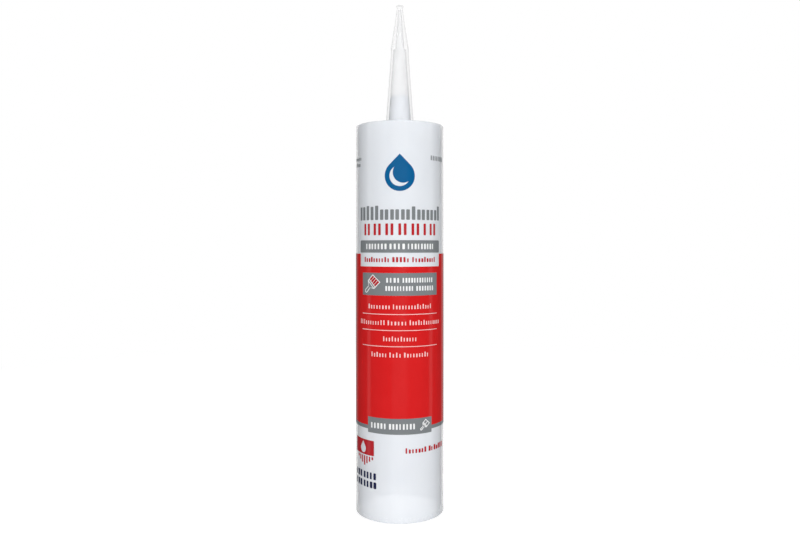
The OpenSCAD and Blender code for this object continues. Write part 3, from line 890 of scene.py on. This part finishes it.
# Blue print
# A plain water drop in bright blue ink, printed on the bare wall near the rim. A crescent of
# light is left open in its belly: one circle, less the same circle moved up and to the right.
MARK_W = 16.4
MARK_H = 20
MARK_Z = 188
LIGHT_R = MARK_W / 2 * 0.68
LIGHT_SHIFT = MARK_W / 2 * 0.22
BLUE_INK = (0.003, 0.105, 0.275)
belly_z = MARK_Z + MARK_W / 2 - MARK_H / 2
crossing = degrees(acos(LIGHT_SHIFT * sqrt(2) / 2 / LIGHT_R))
light = [*arc(0, belly_z, LIGHT_R, 45 + crossing, 405 - crossing, 32),
         *arc(LIGHT_SHIFT, belly_z + LIGHT_SHIFT, LIGHT_R, 225 + crossing, 225 - crossing,
              24)[1:-1]]
print_blue = print_piece("print_blue", [(0, [drop(0, MARK_Z, MARK_W, MARK_H), light])],
                         finish("blue ink", ink(BLUE_INK)))
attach(print_blue, "barrel")
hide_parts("print_blue")

# Navy print
# Two short contents lines in a blue that is nearly black, printed on the bare wall near the
# foot, at the left of the front.
NAVY_INK = (0.012, 0.016, 0.06)
navy_shapes = [*line([7, 9], middle=-22.5, low=17.5, height=3.5, capital=True, fill=0.6),
               *line([7, 9], middle=-22.5, low=22.3, height=3.6, capital=True, fill=0.6)]
print_navy = print_piece("print_navy", navy_shapes, finish("navy ink", ink(NAVY_INK)))
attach(print_navy, "barrel")
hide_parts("print_navy")

# Floor
# A pale matt floor that keeps the tube's shadow. A ring round the foot glows for diffuse rays
# only, a painted glow that lights the foot's wall. Far off the floor is plain white to the camera.
# It is open under the foot, and clear from below.
FLOOR_R = 3000
FLOOR_HOLE_R = BORE_R - 3
FLOOR_SIDES = 64
FLOOR_GREY = (0.8, 0.8, 0.8, 1)
WHITE = (1, 1, 1, 1)
NEAR_GLOW = 0.58
FAR_GLOW = 0.24
# Strength of the painted glow in a ring round the foot, which only diffuse rays see
FOOT_GLOW = 0.08
# These changes lie between two distances from the axis, in metres
GLOW_RISES = (0.2, 2)
FOOT_GLOW_STARTS = (0.035, 0.06)
FOOT_GLOW_ENDS = (0.2, 0.08)
PLAIN_STARTS = (0.25, 0.7)
near, far = ([(x, y, 0) for x, y in arc(0, 0, r * MM, 0, 360, FLOOR_SIDES)[:-1]]
             for r in (FLOOR_HOLE_R, FLOOR_R))
floor_mesh = bpy.data.meshes.new("floor")
floor_mesh.from_pydata(near + far, [], [
    (i, i + FLOOR_SIDES, (i + 1) % FLOOR_SIDES + FLOOR_SIDES, (i + 1) % FLOOR_SIDES)
    for i in range(FLOOR_SIDES)])
floor = bpy.data.objects.new("floor", floor_mesh)
bpy.context.scene.collection.objects.link(floor)
floor_paint = bpy.data.materials.new("pale floor")
floor_paint.use_nodes = True
net = Net(floor_paint.node_tree)
ray = net.node("ShaderNodeLightPath")
reach, _ = net.reach_and_height()
lift = net.step(reach, *GLOW_RISES) * FAR_GLOW + NEAR_GLOW
# Painted glow: a ring round the foot that emits for diffuse rays only, and so lights the foot's
# wall
foot_glow = net.step(reach, *FOOT_GLOW_STARTS) * net.step(reach, *FOOT_GLOW_ENDS) * FOOT_GLOW
matt = net.node("ShaderNodeBsdfDiffuse", {"Color": FLOOR_GREY})
glow = net.node("ShaderNodeEmission",
                {"Color": ray.of("Is Camera Ray") * lift + ray.of("Is Diffuse Ray") * foot_glow})
lit = net.node("ShaderNodeAddShader", {0: matt, 1: glow})
plain = net.node("ShaderNodeEmission", {"Color": WHITE})
lit = net.node("ShaderNodeMixShader",
               {0: ray.of("Is Camera Ray") * net.step(reach, *PLAIN_STARTS), 1: lit, 2: plain})
clear = net.node("ShaderNodeBsdfTransparent")
seen = net.node("ShaderNodeMixShader", {0: net.node("ShaderNodeNewGeometry").of("Backfacing"),
                                        1: lit, 2: clear})
net.node("ShaderNodeOutputMaterial", {"Surface": seen})
floor_mesh.materials.append(floor_paint)
floor.visible_glossy = False

# Surround
# A white studio: full white to the camera, and an even soft light on the tube. A glossy face
# mirrors a dim room, lighter behind the tube, above all at the right, and on the camera's side.
AMBIENT = 0.325
MIRROR_DIM = 0.05
MIRROR_BEHIND = 0.25
MIRROR_RIGHT = 0.2
MIRROR_AHEAD = 0.3
world = bpy.data.worlds.new("white studio")
bpy.context.scene.world = world
world.use_nodes = True
net = Net(world.node_tree)
ray = net.node("ShaderNodeLightPath")
seen = net.maths("MAXIMUM", ray.of("Is Camera Ray"), ray.of("Is Transmission Ray"))
sky = net.node("ShaderNodeSeparateXYZ", {0: net.node("ShaderNodeTexCoord").of("Generated")})
level = net.node("ShaderNodeCombineXYZ", {"X": sky, "Y": sky.of("Y")})
toward = net.node("ShaderNodeSeparateXYZ", {0: net.node("ShaderNodeVectorMath", {0: level},
                                                        operation="NORMALIZE")})
# Along the level, +Y points behind the tube, -Y to the camera and +X to the right
behind = net.step(toward.of("Y"), 0.74, 0.84)
right = net.step(toward.of("X"), 0.3, 0.5) * net.step(toward.of("Y"), 0.7, 0.8)
ahead = net.step(toward.of("Y"), -0.92, -0.96)
mirror = behind * MIRROR_BEHIND + ahead * MIRROR_AHEAD + right * MIRROR_RIGHT + MIRROR_DIM
strength = AMBIENT + seen * (1 - AMBIENT) + ray.of("Is Glossy Ray") * (mirror - AMBIENT)
sky_light = net.node("ShaderNodeBackground", {"Color": WHITE, "Strength": strength})
net.node("ShaderNodeOutputWorld", {"Surface": sky_light})

# Lamps
# The front, top and back lamps light the tube without showing in its gloss, and a tall one at
# each side leaves the long reflections down the wall. Their places and sizes are in metres.
AIM = Vector((0, 0, 0.14))


def lamp(name, place, size, power, shines=True):
    """A soft rectangular lamp that faces the middle of the tube."""
    light = bpy.data.lights.new(name, "AREA")
    light.shape, light.size, light.size_y = "RECTANGLE", *size
    light.energy = power
    held = bpy.data.objects.new(name, light)
    held.location = place
    held.visible_glossy = shines
    held.rotation_euler = (AIM - Vector(place)).to_track_quat("-Z", "Y").to_euler()
    bpy.context.scene.collection.objects.link(held)


lamp("front_lamp", (0.1, -1.3, 0.125), (0.5, 0.24), 11.5, shines=False)
lamp("top_lamp", (0, 0, 1.5), (0.5, 0.5), 4, shines=False)
lamp("back_lamp", (0, 1.3, 0.3), (0.8, 0.8), 7, shines=False)
lamp("left_lamp", (-0.9, -0.06, 0.15), (0.18, 0.9), 0.37)
lamp("right_lamp", (0.9, -0.05, 0.15), (0.18, 0.9), 0.37)

# Camera
# It stands level, straight in front of the tube and a little above its middle. Its distance, in
# metres, is the one that fits the barrel's rims and sides in the photograph.
lens = bpy.data.cameras.new("camera")
lens.lens = 33.39
lens.sensor_width = 36
lens.shift_x = 0.0003
lens.shift_y = -0.024
camera = bpy.data.objects.new("camera", lens)
camera.location = (0, -0.421, 0.1479)
camera.rotation_euler = (radians(90), 0, 0)
bpy.context.scene.collection.objects.link(camera)
bpy.context.scene.camera = camera
bpy.context.scene.view_settings.view_transform = "Standard"
